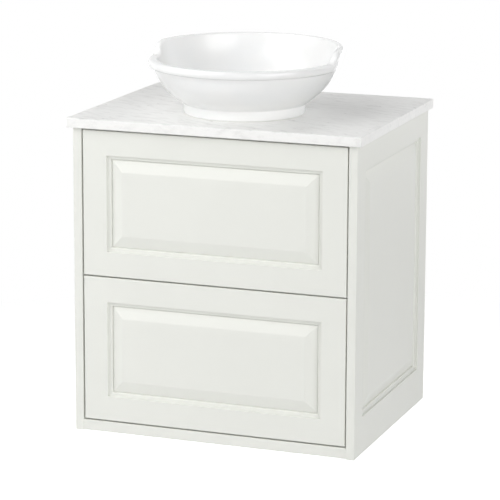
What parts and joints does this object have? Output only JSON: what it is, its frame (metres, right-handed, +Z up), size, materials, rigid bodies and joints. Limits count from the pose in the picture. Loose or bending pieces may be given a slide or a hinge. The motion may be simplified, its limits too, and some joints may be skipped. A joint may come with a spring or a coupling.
{
  "type": "wall-hung washstand",
  "caption": "Wall-hung washstand with push-open raised-panel drawers under a marble-effect worktop and a round vessel basin with a low front rim.",
  "frame": {"origin": "on the wall, at the centre of the four wall screws; 323.5 mm above the lower ends of the side panels", "axes": "+X to the right seen from the front, +Y into the wall, +Z up"},
  "size_m": [0.62, 0.492, 0.7858],
  "materials": {
    "lacquered_board": "satin off-white lacquer on moulded fibreboard",
    "drawer_board": "white melamine with a fine grain",
    "drawer_bottom": "white melamine, matt",
    "worktop_marble": "polished marble effect, faint grey veins",
    "basin_ceramic": "white glaze",
    "silicone": "white sanitary silicone",
    "rubber": "black rubber",
    "chrome": "polished chrome plate",
    "brass_nut": "raw brass, turned",
    "white_plastic": "white polypropylene",
    "grey_plastic": "grey moulded plastic",
    "zinc_steel": "zinc-plated sheet steel",
    "ball_steel": "polished steel balls",
    "screw_steel": "zinc-plated steel",
    "cast_zinc": "die-cast zinc"
  },
  "bodies": {
    "cabinet": {"side_panel_left": "lacquered_board", "side_panel_right": "lacquered_board", "bottom_panel": "lacquered_board", "front_bottom_rail": "lacquered_board", "top_front_rail": "drawer_board", "top_back_rail": "drawer_board", "bottom_back_rail": "drawer_board", "carcass_fittings": "cast_zinc", "hanging_bracket_left": "zinc_steel", "hanging_bracket_right": "zinc_steel", "cabinet_screws": "screw_steel", "worktop": "worktop_marble", "basin": "basin_ceramic", "basin_seal": "silicone", "waste_body": "chrome", "flange_gasket": "silicone", "body_gasket": "rubber", "nut_washer": "rubber", "waste_nut": "brass_nut", "plug_guide": "grey_plastic", "waste_elbow": "white_plastic", "waste_pipe": "white_plastic", "back_elbow": "white_plastic", "down_pipe": "white_plastic", "trap_bend": "white_plastic", "outlet_elbow": "white_plastic", "outlet_seal": "rubber", "slip_nuts": "white_plastic", "push_open_units": "grey_plastic", "upper_runner_cabinet_left": "zinc_steel", "upper_runner_cabinet_right": "zinc_steel", "lower_runner_cabinet_left": "zinc_steel", "lower_runner_cabinet_right": "zinc_steel"},
    "plug": {"plug_cap": "chrome", "plug_stem": "chrome"},
    "upper_drawer": {"upper_runner_drawer_left": "zinc_steel", "upper_runner_drawer_right": "zinc_steel", "upper_drawer_front": "lacquered_board", "upper_drawer_inner_front": "drawer_board", "upper_drawer_side_left": "drawer_board", "upper_drawer_side_right": "drawer_board", "upper_drawer_back": "drawer_board", "upper_drawer_bottom": "drawer_bottom", "upper_drawer_screws": "screw_steel"},
    "upper_runner_middle": {"upper_runner_middle_left": "zinc_steel", "upper_runner_middle_right": "zinc_steel", "upper_runner_balls": "ball_steel"},
    "lower_drawer": {"lower_runner_drawer_left": "zinc_steel", "lower_runner_drawer_right": "zinc_steel", "lower_drawer_front": "lacquered_board", "lower_drawer_inner_front": "drawer_board", "lower_drawer_side_left": "drawer_board", "lower_drawer_side_right": "drawer_board", "lower_drawer_back": "drawer_board", "lower_drawer_bottom": "drawer_bottom", "lower_drawer_screws": "screw_steel"},
    "lower_runner_middle": {"lower_runner_middle_left": "zinc_steel", "lower_runner_middle_right": "zinc_steel", "lower_runner_balls": "ball_steel"}
  },
  "joints": [
    {"name": "upper_drawer_slide", "type": "slide", "parent": "cabinet", "child": "upper_drawer", "axis": [0, -1, 0], "range_m": [-0.003, 0.34]},
    {"name": "upper_runner_slide", "type": "slide", "parent": "cabinet", "child": "upper_runner_middle", "axis": [0, -1, 0], "range_m": [-0.0015, 0.17]},
    {"name": "lower_drawer_slide", "type": "slide", "parent": "cabinet", "child": "lower_drawer", "axis": [0, -1, 0], "range_m": [-0.003, 0.34]},
    {"name": "lower_runner_slide", "type": "slide", "parent": "cabinet", "child": "lower_runner_middle", "axis": [0, -1, 0], "range_m": [-0.0015, 0.17]},
    {"name": "plug_lift", "type": "slide", "parent": "cabinet", "child": "plug", "axis": [0, 0, 1], "range_m": [0, 0.008]}
  ],
  "couplings": [
    {"joint": "upper_runner_slide", "follows": "upper_drawer_slide", "ratio": 0.5},
    {"joint": "lower_runner_slide", "follows": "lower_drawer_slide", "ratio": 0.5}
  ]
}
